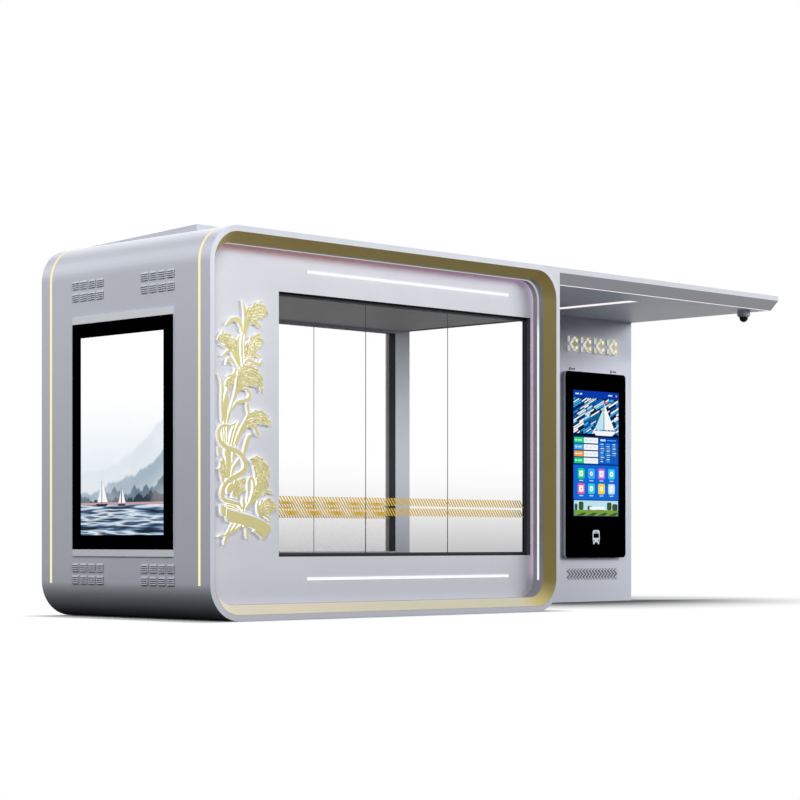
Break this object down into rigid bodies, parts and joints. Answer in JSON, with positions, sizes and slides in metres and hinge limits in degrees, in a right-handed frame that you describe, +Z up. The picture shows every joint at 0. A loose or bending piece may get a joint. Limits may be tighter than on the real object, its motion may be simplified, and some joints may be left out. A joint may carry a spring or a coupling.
{
  "type": "bus shelter",
  "caption": "Rounded glazed waiting pod with an open end doorway, gilt splayed rims and a flat canopy that runs on to a touch-screen information kiosk.",
  "frame": {"origin": "centre of the whole footprint, on the ground", "axes": "+X along the length from the pod to the kiosk, +Y from the front to the rear, +Z up"},
  "size_m": [6.932, 2.03, 2.938],
  "materials": {
    "shell_paint": "satin silver-grey powder coat",
    "gilt": "brushed gold anodised sheet",
    "dark_frame": "satin near-black paint",
    "clear_glass": "clear laminated glass",
    "lining_grey": "satin dark grey paint",
    "floor_rubber": "ribbed dark floor covering",
    "light_white": "opal light diffuser, lit white",
    "light_warm": "opal light diffuser, lit pale yellow",
    "black_glass": "polished black glass",
    "poster_print": "back-lit printed poster",
    "display_face": "lit display panel"
  },
  "bodies": {
    "root": {"camera_base": "shell_paint", "camera_dome": "black_glass", "canopy_deck": "shell_paint", "canopy_lights": "light_white", "canopy_soffit": "shell_paint", "canopy_spandrel": "shell_paint", "ceiling_panel": "lining_grey", "floor_deck": "floor_rubber", "front_wall_head": "shell_paint", "front_wall_left": "shell_paint", "front_wall_right": "shell_paint", "front_wall_sill": "shell_paint", "front_window_frame": "dark_frame", "front_window_glass": "clear_glass", "gilt_splay_front": "gilt", "gilt_splay_rear": "gilt", "kiosk_display": "display_face", "kiosk_grille": "shell_paint", "kiosk_screen_box": "shell_paint", "kiosk_screen_glass": "black_glass", "kiosk_sign": "gilt", "kiosk_wall": "shell_paint", "left_end_lining": "lining_grey", "louvres": "shell_paint", "poster_box": "shell_paint", "poster_sheet": "poster_print", "poster_surround": "black_glass", "rear_recess_light": "light_white", "rear_recess_liner": "shell_paint", "rear_wall_head": "shell_paint", "rear_wall_left": "shell_paint", "rear_wall_right": "shell_paint", "rear_wall_sill": "shell_paint", "rear_window_frame": "dark_frame", "rear_window_glass": "clear_glass", "recess_light": "light_white", "recess_liner": "shell_paint", "right_end_front": "shell_paint", "right_end_head": "shell_paint", "right_end_rear": "shell_paint", "roof_cover": "shell_paint", "shell_base": "shell_paint", "shell_corner_left": "shell_paint", "shell_corner_right": "shell_paint", "shell_left_end": "shell_paint", "shell_roof": "shell_paint", "side_lights": "light_warm", "wall_lights": "light_white"}
  },
  "joints": []
}
